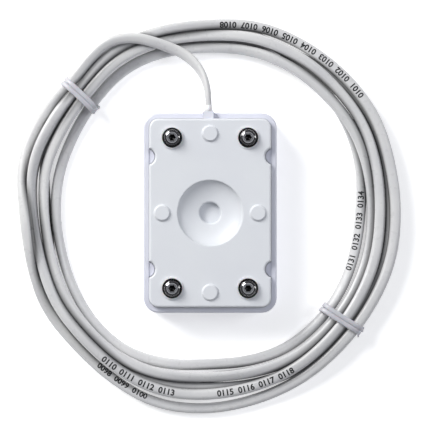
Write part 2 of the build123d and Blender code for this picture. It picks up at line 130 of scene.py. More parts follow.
# Heights on a probe's head, in metres, where the painted shade on its rim ends and its plain bright crown
# starts; the painted shade darkens the steel's colour to stand in for the dark reflection on the steep rim.
HEAD_SHADE = (0.01936, 0.01950)
FIRST_ANGLE = 105.0
DENSE_UNTIL = 135.0
DENSE_STEP = 7.5
TURN_STEP = 15.0
FREE_END = (64.64, 14.77, 1.3)
FREE_END_ANGLE = 2172.8
FREE_END_HEADING = (-0.4067, 0.9135, 0.0)
WIRE_LENGTH = 0.015
WIRE_RADIUS = 0.00065
STRIPPED_LENGTH = 0.0078
STRAND_RADIUS = 0.000115
COLLAR_LENGTH = 0.0032
COLLAR_FLARE = 0.0004
COLLAR_SKIN = 0.00006
KNOT_SCALE = 0.00026
KNOT_RADIUS = 0.00034
# The lead lies down from its broad side upright over this stretch of its run.
TWIST_START = 0.004
TWIST_LENGTH = 0.024
# Where the printed runs start, in degrees of winding, their first figure and how many figures.
MARK_RUNS = ((397.0, 101, 8), (594.0, 110, 4), (633.0, 115, 4), (1418.0, 131, 4), (234.0, 98, 3))
PRINT_STANDOFF = 0.00003
GLYPH_EDGE = 0.00035
ENTRY_ANGLES = [97.0, 105.0, 112.5, 120.0, 127.5, 135.0]
ENTRY_RADII = [58.5, 67.0, 73.6, 76.2, 74.6, 72.4]


class LeakSensorCable(bpy.types.PropertyGroup):
    """Sizes and colours of the two-core cable."""

    width: bpy.props.FloatProperty(
        name="Width", description="Broad side of the flat cable", default=0.0042, unit="LENGTH"
    )
    thickness: bpy.props.FloatProperty(
        name="Thickness", description="Narrow side of the flat cable", default=0.0025, unit="LENGTH"
    )
    length: bpy.props.FloatProperty(
        name="Length", description="Real length from the grommet to the free end", default=2.44, unit="LENGTH"
    )
    jacket: bpy.props.FloatVectorProperty(
        name="Jacket", description="Colour of the vinyl jacket", default=(0.64, 0.64, 0.64), size=3,
        subtype="COLOR", min=0.0, max=1.0,
    )
    ink: bpy.props.FloatVectorProperty(
        name="Ink", description="Colour of the printed length marks", default=(0.012, 0.012, 0.014), size=3,
        subtype="COLOR", min=0.0, max=1.0,
    )
    mark_height: bpy.props.FloatProperty(
        name="Mark height", description="Height of the printed figures", default=0.0023, unit="LENGTH"
    )


class LeakSensorTies(bpy.types.PropertyGroup):
    """Sizes and colours of the two ties."""

    upper_angle: bpy.props.FloatProperty(
        name="Upper tie", description="Direction of the upper tie from the bundle's centre",
        default=math.radians(TIE_ANGLES[0]), subtype="ANGLE",
    )
    lower_angle: bpy.props.FloatProperty(
        name="Lower tie", description="Direction of the lower tie from the bundle's centre",
        default=math.radians(TIE_ANGLES[1]), subtype="ANGLE",
    )
    strand_width: bpy.props.FloatProperty(
        name="Strand width", description="Width of one wrap of the tie", default=0.00185, unit="LENGTH"
    )
    strand_thickness: bpy.props.FloatProperty(
        name="Strand thickness", description="Thickness of one wrap of the tie", default=0.0010, unit="LENGTH"
    )
    colour: bpy.props.FloatVectorProperty(
        name="Colour", description="Colour of the tie's plastic", default=(0.55, 0.55, 0.58), size=3,
        subtype="COLOR", min=0.0, max=1.0,
    )


class LeakSensorCase(bpy.types.PropertyGroup):
    """Colours of the case and its fittings."""

    shell: bpy.props.FloatVectorProperty(
        name="Shell", description="Colour of the housing", default=(0.70, 0.71, 0.78), size=3,
        subtype="COLOR", min=0.0, max=1.0,
    )
    face: bpy.props.FloatVectorProperty(
        name="Face", description="Colour of the sensing plate", default=(0.72, 0.74, 0.77), size=3,
        subtype="COLOR", min=0.0, max=1.0,
    )
    steel: bpy.props.FloatVectorProperty(
        name="Steel", description="Colour of the probe screws", default=(0.62, 0.62, 0.63), size=3,
        subtype="COLOR", min=0.0, max=1.0,
    )
    seal: bpy.props.FloatVectorProperty(
        name="Seal", description="Colour of the sealing washers", default=(0.80, 0.80, 0.82), size=3,
        subtype="COLOR", min=0.0, max=1.0,
    )


class LeakSensorStage(bpy.types.PropertyGroup):
    """Camera, light and floor."""

    distance: bpy.props.FloatProperty(
        name="Camera distance", description="Height of the camera above the case's rim", default=1.2,
        unit="LENGTH",
    )
    view_height: bpy.props.FloatProperty(
        name="View height", description="Height of the view at the level of the case's rim", default=0.1631,
        unit="LENGTH",
    )
    key_power: bpy.props.FloatProperty(
        name="Key light", description="Power of the large light at the upper left", default=21.0, unit="POWER"
    )
    fill_power: bpy.props.FloatProperty(
        name="Fill light", description="Power of the soft light at the right", default=3.0, unit="POWER"
    )
    strip_power: bpy.props.FloatProperty(
        name="Strip lights", description="Power of the low strip lights that the probes' heads reflect",
        default=1.6, unit="POWER",
    )
    sky: bpy.props.FloatProperty(
        name="Room light", description="Strength of the light from all round", default=0.46, min=0.0
    )
    floor: bpy.props.FloatVectorProperty(
        name="Floor", description="Colour of the floor", default=(0.98, 0.98, 0.98), size=3,
        subtype="COLOR", min=0.0, max=1.0,
    )


class LeakSensorSettings(bpy.types.PropertyGroup):
    """Every size and colour of the model."""

    cable: bpy.props.PointerProperty(
        name="Cable", description="The two-core cable", type=LeakSensorCable
    )
    ties: bpy.props.PointerProperty(
        name="Ties", description="The two ties round the bundle", type=LeakSensorTies
    )
    case: bpy.props.PointerProperty(
        name="Case", description="The case and its fittings", type=LeakSensorCase
    )
    stage: bpy.props.PointerProperty(
        name="Stage", description="Camera, light and floor", type=LeakSensorStage
    )


# ---- Meshes -----------------------------------------------------------------
def grid_faces(rings, around, closed_rings=False):
    """Quads of a grid of rings: corner (i, j) joins (i, j+1), (i+1, j+1) and (i+1, j), wrapping in j."""
    last = rings if closed_rings else rings - 1
    i, j = np.meshgrid(np.arange(last), np.arange(around), indexing="ij")
    up, right = (i + 1) % rings, (j + 1) % around
    quads = np.stack([i * around + j, i * around + right, up * around + right, up * around + j], -1)
    return quads.reshape(-1, 4)


def enclosed_volume(points, faces):
    """Six times the volume inside, as the sum of each quad's two corner tetrahedra with the origin."""
    a, b, c, d = (points[faces[:, k]] for k in range(4))
    return np.sum(a * np.cross(b, c)) + np.sum(a * np.cross(c, d))


def swept(points, side, up, profile):
    """Surface carried along a path: ring i is point i plus the profile's two columns times the side and
    up vectors there. Both ends are closed by rings shrunk to the centre. Returns corners and quads."""
    profile = np.broadcast_to(profile, (len(points),) + profile.shape[-2:])
    rings = (
        points[:, None, :]
        + profile[:, :, :1] * side[:, None, :]
        + profile[:, :, 1:] * up[:, None, :]
    )
    first = np.broadcast_to(points[0], rings[:1].shape)
    last = np.broadcast_to(points[-1], rings[:1].shape)
    rings = np.concatenate([first, rings, last])
    corners = rings.reshape(-1, 3)
    faces = grid_faces(len(rings), rings.shape[1])
    if enclosed_volume(corners, faces) < 0:
        faces = faces[:, ::-1]
    return corners, faces


def gather(parts):
    """Several (corners, faces) pairs as one pair."""
    corners, faces, count = [], [], 0
    for part_corners, part_faces in parts:
        corners.append(part_corners)
        faces.append(part_faces + count)
        count += len(part_corners)
    return np.concatenate(corners), np.concatenate(faces)


def make_piece(name, corners, faces, materials):
    """A smooth mesh object at the origin from corners and faces."""
    mesh = bpy.data.meshes.new(name)
    mesh.from_pydata(corners.tolist(), [], faces.tolist())
    for material in materials:
        mesh.materials.append(material)
    mesh.polygons.foreach_set("use_smooth", np.ones(len(mesh.polygons), bool))
    mesh.validate()
    mesh.update()
    piece = bpy.data.objects.new(name, mesh)
    bpy.context.scene.collection.objects.link(piece)
    return piece


def corner_places(mesh):
    """The mesh's corners as rows."""
    co = np.zeros(len(mesh.vertices) * 3)
    mesh.vertices.foreach_get("co", co)
    return co.reshape(-1, 3)


def close_poles(piece, distance=1e-6):
    """Merges the corners that lie on each other, so that caps and seams are closed."""
    work = bmesh.new()
    work.from_mesh(piece.data)
    bmesh.ops.remove_doubles(work, verts=work.verts, dist=distance)
    work.to_mesh(piece.data)
    work.free()
    piece.data.update()


def crowned_height(across, width, thickness):
    """How far the flat cable's surface stands off its middle plane: half its thickness over the flat part,
    a quarter circle beyond it, and both lowered by CROWN times the square of the share of the half width."""
    radius = thickness / 2
    beyond = np.clip(np.abs(across) - (width / 2 - radius), 0, radius)
    return np.sqrt(radius**2 - beyond**2) * (1 - CROWN * (2 * across / width) ** 2)


def stadium(width, thickness, count):
    """Outline of a flat cable: two straight sides joined by half circles, evenly spaced, as (across, up),
    with the straight sides bulging by CROWN of the half thickness."""
    radius = thickness / 2
    straight = width - thickness
    turn = math.pi * radius
    s = (np.arange(count) + 0.5) / count * 2 * (straight + turn)
    s, half = s % (straight + turn), s >= straight + turn
    arc = np.clip((s - straight) / radius, 0, math.pi)
    x = straight / 2 - np.minimum(s, straight) - radius * np.sin(arc)
    y = radius * np.cos(arc) * (1 - CROWN * (2 * x / width) ** 2)
    sign = np.where(half, -1.0, 1.0)
    return np.stack([x * sign, y * sign], -1)


def circle(radius, count):
    """A round outline as (across, up)."""
    a = np.arange(count) * 2 * math.pi / count
    return np.stack([radius * np.cos(a), radius * np.sin(a)], -1)


def unit(vectors):
    """Each row divided by its length."""
    return vectors / np.linalg.norm(vectors, axis=-1, keepdims=True)


def upright_frames(points):
    """Tangent from central differences, side = tangent x up, and normal = side x tangent, for each point."""
    tangent = unit(np.gradient(points, axis=0))
    side = unit(np.cross(tangent, (0.0, 0.0, 1.0)))
    return tangent, side, np.cross(side, tangent)


# ---- Materials --------------------------------------------------------------
def new_material(name):
    """An empty node material and its shader."""
    material = bpy.data.materials.new(name)
    material.use_nodes = True
    nodes = material.node_tree.nodes
    return material, nodes, material.node_tree.links, nodes["Principled BSDF"]


def noise(nodes, links, vector, scale, detail, stretch=None):
    """A noise pattern on the given coordinates, stretched by a Mapping node where one is wanted."""
    texture = nodes.new("ShaderNodeTexNoise")
    texture.inputs["Scale"].default_value = scale
    texture.inputs["Detail"].default_value = detail
    if stretch is None:
        links.new(vector, texture.inputs["Vector"])
    else:
        mapping = nodes.new("ShaderNodeMapping")
        mapping.inputs["Scale"].default_value = stretch
        links.new(vector, mapping.inputs["Vector"])
        links.new(mapping.outputs["Vector"], texture.inputs["Vector"])
    return texture.outputs["Fac"]


def ranged(nodes, links, value, low, high, start=0.35, end=0.65):
    """The value's middle range spread over low to high."""
    spread = nodes.new("ShaderNodeMapRange")
    spread.inputs["From Min"].default_value = start
    spread.inputs["From Max"].default_value = end
    spread.inputs["To Min"].default_value = low
    spread.inputs["To Max"].default_value = high
    links.new(value, spread.inputs["Value"])
    return spread.outputs["Result"]


def tinted(nodes, links, amount, first, second):
    """A colour between two others."""
    mix = nodes.new("ShaderNodeMix")
    mix.data_type = "RGBA"
    links.new(amount, mix.inputs["Factor"])
    mix.inputs[6].default_value = (*first, 1.0)
    mix.inputs[7].default_value = (*second, 1.0)
    return mix.outputs[2]


def bumped(nodes, links, shader, height, depth, strength=1.0):
    """Fine relief on the shader's normal."""
    bump = nodes.new("ShaderNodeBump")
    bump.inputs["Strength"].default_value = strength
    bump.inputs["Distance"].default_value = depth
    links.new(height, bump.inputs["Height"])
    links.new(bump.outputs["Normal"], shader.inputs["Normal"])


def surface(
    name,
    colour,
    shade=0.94,
    cast=(1.0, 1.0, 1.0),
    rough=(0.3, 0.4),
    cloud=60.0,
    grain=2500.0,
    depth=0.00002,
    metallic=0.0,
    coat=0.0,
    coat_rough=0.2,
    specular=0.5,
    stretch=None,
    coordinates="Object",
    soft=0.0,
):
    """A finish with cloudy colour, uneven roughness and a fine grain in its normal."""
    material, nodes, links, shader = new_material(name)
    shader.inputs["Metallic"].default_value = metallic
    shader.inputs["Specular IOR Level"].default_value = specular
    shader.inputs["Coat Weight"].default_value = coat
    shader.inputs["Coat Roughness"].default_value = coat_rough
    shader.inputs["Subsurface Weight"].default_value = soft
    shader.inputs["Subsurface Scale"].default_value = 0.001
    where = nodes.new("ShaderNodeTexCoord").outputs[coordinates]
    darker = [min(1.0, c * shade * t) for c, t in zip(colour, cast)]
    clouds = noise(nodes, links, where, cloud, 4.0)
    links.new(
        tinted(nodes, links, ranged(nodes, links, clouds, 0.0, 1.0), colour[:], darker),
        shader.inputs["Base Color"],
    )
    wear = noise(nodes, links, where, cloud * 5, 3.0, stretch)
    links.new(ranged(nodes, links, wear, *rough), shader.inputs["Roughness"])
    fine = noise(nodes, links, where, grain, 2.0, stretch)
    bumped(nodes, links, shader, fine, depth)
    return material


def paint_shade_on_low_parts(material, low, high, darkest):
    """Multiplies the colour by a painted shade that rises from darkest to 1 between two heights in metres."""
    nodes, links = material.node_tree.nodes, material.node_tree.links
    shader = nodes["Principled BSDF"]
    split = nodes.new("ShaderNodeSeparateXYZ")
    links.new(nodes.new("ShaderNodeTexCoord").outputs["Object"], split.inputs["Vector"])
    mix = nodes.new("ShaderNodeMix")
    mix.data_type = "RGBA"
    mix.blend_type = "MULTIPLY"
    mix.inputs["Factor"].default_value = 1.0
    links.new(shader.inputs["Base Color"].links[0].from_socket, mix.inputs[6])
    shade = ranged(nodes, links, split.outputs["Z"], darkest, 1.0, low, high)
    links.new(shade, mix.inputs[7])
    links.new(mix.outputs[2], shader.inputs["Base Color"])


def paint_shade_in_creases(material, darkest):
    """Blends the colour towards a dark one by the mesh's crease attribute: painted shade in the gaps where
    turns touch.
    """
    nodes, links = material.node_tree.nodes, material.node_tree.links
    shader = nodes["Principled BSDF"]
    crease = nodes.new("ShaderNodeAttribute")
    crease.attribute_name = "crease"
    mix = nodes.new("ShaderNodeMix")
    mix.data_type = "RGBA"
    links.new(crease.outputs["Fac"], mix.inputs["Factor"])
    links.new(shader.inputs["Base Color"].links[0].from_socket, mix.inputs[6])
    mix.inputs[7].default_value = (*darkest, 1.0)
    links.new(mix.outputs[2], shader.inputs["Base Color"])


def board_material(name):
    """Green solder mask with paler tracks where a stepped wave is high, and specks of the glass weave."""
    material, nodes, links, shader = new_material(name)
    where = nodes.new("ShaderNodeTexCoord").outputs["Object"]
    tracks = nodes.new("ShaderNodeTexBrick")
    tracks.inputs["Scale"].default_value = 220.0
    tracks.inputs["Mortar Size"].default_value = 0.06
    tracks.inputs["Color1"].default_value = (0.02, 0.17, 0.06, 1.0)
    tracks.inputs["Color2"].default_value = (0.025, 0.19, 0.07, 1.0)
    tracks.inputs["Mortar"].default_value = (0.06, 0.30, 0.12, 1.0)
    links.new(where, tracks.inputs["Vector"])
    links.new(tracks.outputs["Color"], shader.inputs["Base Color"])
    weave = noise(nodes, links, where, 3000.0, 2.0)
    links.new(ranged(nodes, links, weave, 0.25, 0.4), shader.inputs["Roughness"])
    bumped(nodes, links, shader, tracks.outputs["Fac"], 0.00004)
    return material


def banded_material(name, colour, axis_scale):
    """A coated resistor: coloured rings along X on a tan body."""
    material, nodes, links, shader = new_material(name)
    where = nodes.new("ShaderNodeTexCoord").outputs["Object"]
    split = nodes.new("ShaderNodeSeparateXYZ")
    links.new(where, split.inputs["Vector"])
    ramp = nodes.new("ShaderNodeValToRGB")
    ramp.color_ramp.interpolation = "CONSTANT"
    bands = [
        (0.0, colour),
        (0.28, (0.30, 0.05, 0.02)),
        (0.34, colour),
        (0.42, (0.02, 0.02, 0.02)),
        (0.48, colour),
        (0.56, (0.75, 0.20, 0.02)),
        (0.62, colour),
        (0.70, (0.55, 0.42, 0.12)),
        (0.76, colour),
    ]
    elements = ramp.color_ramp.elements
    elements[0].color = (*bands[0][1], 1.0)
    elements[1].position, elements[1].color = bands[-1][0], (*bands[-1][1], 1.0)
    for position, band in bands[1:-1]:
        elements.new(position).color = (*band, 1.0)
    along = nodes.new("ShaderNodeMapRange")
    along.inputs["From Min"].default_value = -axis_scale
    along.inputs["From Max"].default_value = axis_scale
    links.new(split.outputs["X"], along.inputs["Value"])
    links.new(along.outputs["Result"], ramp.inputs["Fac"])
    links.new(ramp.outputs["Color"], shader.inputs["Base Color"])
    fine = noise(nodes, links, where, 1800.0, 2.0)
    links.new(ranged(nodes, links, fine, 0.3, 0.5), shader.inputs["Roughness"])
    bumped(nodes, links, shader, fine, 0.00002)
    return material


# ---- The cable's line ---------------------------------------------------------
def smoothed_ring(values, angles):
    """A table of values at even steps round a circle, as a smooth periodic curve: the sum of its first
    harmonics, which pass through the table's values."""
    table = np.asarray(values, float)
    count = len(table)
    harmonics = np.fft.rfft(table) / count
    order = np.arange(len(harmonics))
    weight = np.where((order == 0) | (2 * order == count), 1.0, 2.0)
    phase = np.radians(np.asarray(angles, float))[..., None] * order
    return np.sum(weight * (harmonics.real * np.cos(phase) - harmonics.imag * np.sin(phase)), -1)


def smoothed_run(values, reach):
    """A running weighted mean with a bell-shaped window, reach samples wide each side, ends held."""
    window = np.exp(-0.5 * (np.arange(-2 * reach, 2 * reach + 1) / reach) ** 2)
    padded = np.concatenate([np.full(2 * reach, values[0]), values, np.full(2 * reach, values[-1])])
    return np.convolve(padded, window / window.sum(), "valid")


def widened_run(values, reach):
    """The highest value within reach samples of each."""
    padded = np.concatenate([np.full(reach, values[0]), values, np.full(reach, values[-1])])
    return np.lib.stride_tricks.sliding_window_view(padded, 2 * reach + 1).max(-1)


def half_sizes(roll):
    """Half height and half width of the flat cable rolled by an angle in radians, in millimetres."""
    tall = HALF_THICKNESS + HALF_SPREAD * np.abs(np.sin(roll))
    wide = HALF_THICKNESS + HALF_SPREAD * np.abs(np.cos(roll))
    return tall, wide


def station_table(rows, angles, reach):
    """A table of values at LANE_START, LANE_STEP apart and turn after turn, at the angles given."""
    flat = np.asarray(rows, float).ravel()
    return smoothed_run(np.interp(angles, LANE_START + LANE_STEP * np.arange(len(flat)), flat), reach)


def bundle():
    """Every strand of the bundle at 3 degree steps of the winding: its angle, its radius, its height and
    its roll. Strands are laid from the free end up. One lies on the floor, or on the strands below it:
    where two are nearer in plan than their joint half widths, the upper one is higher by their joint
    half heights times the square root of one less the square of the distance over the half widths."""
    step = 3
    per_turn = 360 // step
    angles = np.arange(96, FREE_END_ANGLE + 36, step, dtype=float)
    inner, outer = smoothed_ring(INNER_RADII, angles), smoothed_ring(OUTER_RADII, angles)
    lanes = station_table(LANES, angles, 4)
    radii = inner + lanes * (outer - inner) / TOP_LANES
    entry = np.interp(angles, ENTRY_ANGLES, ENTRY_RADII)
    share = np.clip((angles - ENTRY_ANGLES[-1]) / 15, 0, 1)
    radii = entry * (1 - share) + radii * share
    roll = np.radians(station_table(ROLLS, angles, 5))
    half_height, half_width = half_sizes(roll)
    half_width = NESTING * half_width
    floor = half_height
    for tie in TIE_ANGLES:
        away = (angles - tie + 180) % 360 - 180
        floor = floor + TIE_LIFT * np.exp(-0.5 * (away / TIE_LIFT_SPREAD) ** 2)
    height = floor.copy()
    for _ in range(6):
        needed = floor.copy()
        for m in range(1, 6):
            lap = m * per_turn
            if lap >= len(angles):
                break
            reach = half_width[:-lap] + half_width[lap:]
            near = np.clip(1 - ((radii[:-lap] - radii[lap:]) / reach) ** 2, 0, 1)
            over = height[lap:] + (half_height[:-lap] + half_height[lap:]) * np.sqrt(near)
            over = np.where(near > 0, over, 0)
            needed[:-lap] = np.maximum(needed[:-lap], over)
        height = smoothed_run(widened_run(needed, 2), 2)
    return angles, radii, height, roll


def crease_depth(corners):
    """How deep each corner of the cable's surface lies in a crease, 0 to 1, which sets how far painted shade
    darkens the jacket there. Each other turn that passes there is an oval of its half width and half height,
    and d is the corner's distance from the oval's
    centre in those units: the depth rises from 0 at d = CREASE_REACH to 1 at d = 1."""
    angles, radii, height, roll = bundle()
    centre = np.array(BUNDLE_CENTRE) * MM
    x, y = (corners[:, 0] - centre[0]) / MM, (corners[:, 1] - centre[1]) / MM
    plan, bearing, z = np.hypot(x, y), np.degrees(np.arctan2(y, x)) % 360, corners[:, 2] / MM
    tall, wide = half_sizes(roll)
    distances = []
    for lap in range(7):
        at = bearing + 360.0 * lap
        inside = (at > angles[0]) & (at < FREE_END_ANGLE)
        across = (plan - np.interp(at, angles, radii)) / np.interp(at, angles, wide)
        above = (z - np.interp(at, angles, height)) / np.interp(at, angles, tall)
        distances.append(np.where(inside, np.hypot(across, above), 9.0))
    second = np.sort(distances, axis=0)[1]
    return np.clip((CREASE_REACH - second) / (CREASE_REACH - 1), 0, 1)


def plan_point(angle, radius, height):
    """A point of the bundle in metres from its angle in degrees, radius and height in millimetres."""
    a = math.radians(angle)
    x = BUNDLE_CENTRE[0] + radius * math.cos(a)
    y = BUNDLE_CENTRE[1] + radius * math.sin(a)
    return (x * MM, y * MM, height * MM)


def cable_route():
    """The lead's route, then the turns of the coil, then the free end, as control points in metres."""
    angles, radii, height, _ = bundle()
    route = list(LEAD_ROUTE)
    angle = FIRST_ANGLE
    while angle < FREE_END_ANGLE - TURN_STEP / 2:
        radius = np.interp(angle, angles, radii)
        swell = 0.5 if angle > DENSE_UNTIL else 0.0
        route.append(plan_point(angle, radius + swell, np.interp(angle, angles, height)))
        angle += DENSE_STEP if angle < DENSE_UNTIL else TURN_STEP
    route.append(tuple(c * MM for c in FREE_END))
    return route


def spline_points(route):
    """The points of a smooth spline that the route controls."""
    curve = bpy.data.curves.new("route", "CURVE")
    curve.dimensions = "3D"
    curve.resolution_u = 8
    spline = curve.splines.new("NURBS")
    spline.points.add(len(route) - 1)
    for point, place in zip(spline.points, route):
        point.co = (*place, 1.0)
    spline.order_u = 3
    spline.use_endpoint_u = True
    holder = bpy.data.objects.new("route", curve)
    bpy.context.scene.collection.objects.link(holder)
    mesh = bpy.data.meshes.new_from_object(holder)
    places = corner_places(mesh)
    bpy.data.objects.remove(holder)
    bpy.data.curves.remove(curve)
    bpy.data.meshes.remove(mesh)
    return places


def cable_line():
    """The cable's points with the direction across its broad side, the direction out of that side, the
    distance run from the grommet, and the unwrapped angle about the bundle's centre. The broad side
    stands upright at the grommet and lies down by the bundle, then rolls as the table says."""
    points = spline_points(cable_route())
    _, side, up = upright_frames(points)
    run = np.concatenate([[0], np.cumsum(np.linalg.norm(np.diff(points, axis=0), axis=1))])
    centre = np.array(BUNDLE_CENTRE) * MM
    turned = np.degrees(np.unwrap(np.arctan2(points[:, 1] - centre[1], points[:, 0] - centre[0])))
    angles, _, _, roll = bundle()
    lying = np.interp(turned, angles, roll)
    share = np.clip((run - TWIST_START) / TWIST_LENGTH, 0, 1)
    share = share * share * (3 - 2 * share)
    rolled = smoothed_run(math.pi / 2 * (1 - share) + lying * share, 3)
    c, s = np.cos(rolled)[:, None], np.sin(rolled)[:, None]
    return points, c * side + s * up, c * up - s * side, run, turned


# ---- Operators ----------------------------------------------------------------
class LEAKSENSOR_OT_stage(bpy.types.Operator):
    """Camera straight above, a large key light, a fill light, two low strips and a pale floor"""

    bl_idname = "leaksensor.stage"
    bl_label = "Stage"

    def execute(self, context):
        settings = context.scene.leak_sensor.stage
        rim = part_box("housing_shell")[1].z
        camera = bpy.data.cameras.new("camera")
        camera.sensor_width = 36.0
        camera.lens = 36.0 * settings.distance / settings.view_height
        camera.clip_start, camera.clip_end = 0.01, 50.0
        holder = bpy.data.objects.new("camera", camera)
        holder.location = (0.0007, -0.0004, rim + settings.distance)
        context.scene.collection.objects.link(holder)
        context.scene.camera = holder

        lights = [
            ("key_light", (-0.860, 0.767, 0.777), (0.7, 0.7), settings.key_power, (1.0, 0.995, 0.98)),
            ("fill_light", (0.75, 0.15, 0.80), (0.35, 0.35), settings.fill_power, (0.93, 0.95, 1.0)),
            ("left_strip", (-0.97, 0.97, 0.31), (0.9, 0.20), settings.strip_power, (1.0, 1.0, 1.0)),
            ("right_strip", (1.35, 0.20, 0.31), (0.3, 0.15), settings.strip_power / 3, (1.0, 1.0, 1.0)),
        ]
        for name, place, size, power, colour in lights:
            light = bpy.data.lights.new(name, "AREA")
            light.shape = "RECTANGLE"
            light.size, light.size_y = size
            light.energy = power
            light.color = colour
            lamp = bpy.data.objects.new(name, light)
            lamp.location = place
            lamp.rotation_euler = (-lamp.location).to_track_quat("-Z", "Y").to_euler()
            context.scene.collection.objects.link(lamp)

        world = bpy.data.worlds.new("room")
        context.scene.world = world
        world.use_nodes = True
        nodes, links = world.node_tree.nodes, world.node_tree.links
        split = nodes.new("ShaderNodeSeparateXYZ")
        links.new(nodes.new("ShaderNodeTexCoord").outputs["Generated"], split.inputs["Vector"])
        ramp = nodes.new("ShaderNodeValToRGB")
        elements = ramp.color_ramp.elements
        elements[0].position, elements[0].color = ROOM[0][0], (*ROOM[0][1], 1.0)
        elements[1].position, elements[1].color = ROOM[-1][0], (*ROOM[-1][1], 1.0)
        for position, tone in ROOM[1:-1]:
            elements.new(position).color = (*tone, 1.0)
        links.new(split.outputs["Z"], ramp.inputs["Fac"])
        links.new(ramp.outputs["Color"], nodes["Background"].inputs["Color"])
        nodes["Background"].inputs["Strength"].default_value = settings.sky

        material, nodes, links, shader = new_material("pale_floor")
        shader.inputs["Roughness"].default_value = 0.9
        shader.inputs["Specular IOR Level"].default_value = 0.1
        shader.inputs["Emission Color"].default_value = (1.0, 1.0, 1.0, 1.0)
        shader.inputs["Emission Strength"].default_value = FLOOR_GLOW
        where = nodes.new("ShaderNodeTexCoord").outputs["Object"]
        speck = noise(nodes, links, where, 300.0, 3.0)
        base = settings.floor[:]
        links.new(
            tinted(nodes, links, speck, base, [c * 0.985 for c in base]), shader.inputs["Base Color"]
        )
        reach = np.linspace(-4.0, 4.0, 9)
        x, y = np.meshgrid(reach, reach, indexing="ij")
        corners = np.stack([x, y, np.zeros_like(x)], -1).reshape(-1, 3)
        i, j = np.meshgrid(np.arange(8), np.arange(8), indexing="ij")
        first = (i * 9 + j).ravel()
        faces = np.stack([first, first + 9, first + 10, first + 1], -1)
        make_piece("floor", corners, faces, [material])
        context.scene.view_settings.view_transform = "Standard"
        return {"FINISHED"}


class LEAKSENSOR_OT_case(bpy.types.Operator):
    """Finishes on the case, its plate, the probes and the pieces inside"""

    bl_idname = "leaksensor.case"
    bl_label = "Case and probes"

    def execute(self, context):
        case = context.scene.leak_sensor.case
        cable = context.scene.leak_sensor.cable
        shell = surface(
            "shell_plastic", case.shell, shade=0.97, cast=(0.99, 0.99, 1.02), rough=(0.28, 0.38),
            cloud=45.0, grain=2200.0, depth=0.000012, coat=0.15, coat_rough=0.25,
        )
        face = surface(
            "face_plastic", case.face, shade=0.97, cast=(1.0, 1.0, 1.01), rough=(0.36, 0.48),
            cloud=50.0, grain=2600.0, depth=0.000018,
        )
        steel = surface(
            "probe_steel", case.steel, shade=0.9, rough=(0.07, 0.16), cloud=400.0, grain=5000.0,
            depth=0.000006, metallic=1.0,
        )
        # painted shade: below HEAD_SHADE the probe steel's colour is darkened almost to black, standing in
        # for the dark reflection on the head's steep rim
        foot, crown = HEAD_SHADE
        paint_shade_on_low_parts(steel, foot, crown, 0.01)
        plain_steel = surface(
            "plain_steel", (0.55, 0.55, 0.57), shade=0.85, rough=(0.28, 0.42), cloud=300.0,
            grain=4000.0, depth=0.00001, metallic=1.0,
        )
        seal = surface(
            "seal_nylon", case.seal, shade=0.97, rough=(0.35, 0.5), cloud=200.0, soft=0.15
        )
        rubber = surface(
            "gasket_rubber", (0.025, 0.025, 0.028), shade=0.7, rough=(0.6, 0.8), cloud=150.0,
            grain=1800.0, depth=0.00004,
        )
        solder = surface(
            "solder_tin", (0.66, 0.66, 0.68), shade=0.85, rough=(0.22, 0.4), cloud=500.0, metallic=1.0
        )
        vinyl = surface(
            "grommet_vinyl", case.shell, shade=0.95, rough=(0.4, 0.55), cloud=180.0, soft=0.1
        )
        jacket = surface(
            "stub_jacket", cable.jacket, shade=0.95, rough=(0.3, 0.42), cloud=120.0, grain=2400.0,
            depth=0.000015,
        )
        red = surface(
            "red_insulation", RED, shade=0.85, rough=(0.25, 0.35), cloud=200.0
        )
        black = surface(
            "black_insulation", BLACK, shade=0.7, rough=(0.25, 0.35), cloud=200.0
        )
        finishes = {
            "housing_shell": shell,
            "sensing_plate": face,
            "seam_gasket": rubber,
            "circuit_board": board_material("board_mask"),
            "end_of_line_resistor": banded_material("resistor_coat", (0.56, 0.40, 0.22), 0.00315),
            "cable_stub": jacket,
            "cable_grommet": vinyl,
            "strain_relief_ferrule": plain_steel,
            "red_core": red,
            "black_core": black,
            "solder_joints": solder,
        }
        for corner in CORNERS:
            finishes[f"probe_screw_{corner}"] = steel
            finishes[f"sealing_washer_{corner}"] = seal
            finishes[f"lock_washer_{corner}"] = plain_steel
            finishes[f"hex_nut_{corner}"] = plain_steel
        for node, material in finishes.items():
            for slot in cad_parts[node].material_slots:
                slot.material = material
        return {"FINISHED"}


class LEAKSENSOR_OT_ties(bpy.types.Operator):
    """Two ties, each a strand wrapped twice round the bundle and knotted at one end"""

    bl_idname = "leaksensor.ties"
    bl_label = "Ties"

    def execute(self, context):
        settings = context.scene.leak_sensor.ties
        material = surface(
            "tie_plastic", settings.colour, shade=0.93, cast=(0.99, 0.99, 1.02), rough=(0.3, 0.45),
            cloud=250.0, grain=2500.0, depth=0.00003, soft=0.1,
        )
        for name, node, angle, knot_side, lean in (
            ("upper_tie_wrap", "upper_cable_tie", settings.upper_angle, -1, 0.0),
            ("lower_tie_wrap", "lower_cable_tie", settings.lower_angle, 1, 0.10),
        ):
            corners, faces = tie_surface(settings, math.degrees(angle), knot_side, lean)
            piece = make_piece(name, corners, faces, [material])
            close_poles(piece)
            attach(piece, BODY)
            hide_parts(node)
        return {"FINISHED"}


def bundle_section(angle):
    """Middle radius, half span and top of the bundle at an angle, in millimetres."""
    angles, radii, height, roll = bundle()
    laps = np.arange(angle, FREE_END_ANGLE, 360.0)
    laps = laps[laps > ENTRY_ANGLES[-1] - 1]
    r = np.interp(laps, angles, radii)
    tilt = np.interp(laps, angles, roll)
    tall, reach = half_sizes(tilt)
    top = np.interp(laps, angles, height) + tall
    low, high = (r - reach).min(), (r + reach).max()
    return (low + high) / 2, (high - low) / 2, top.max()


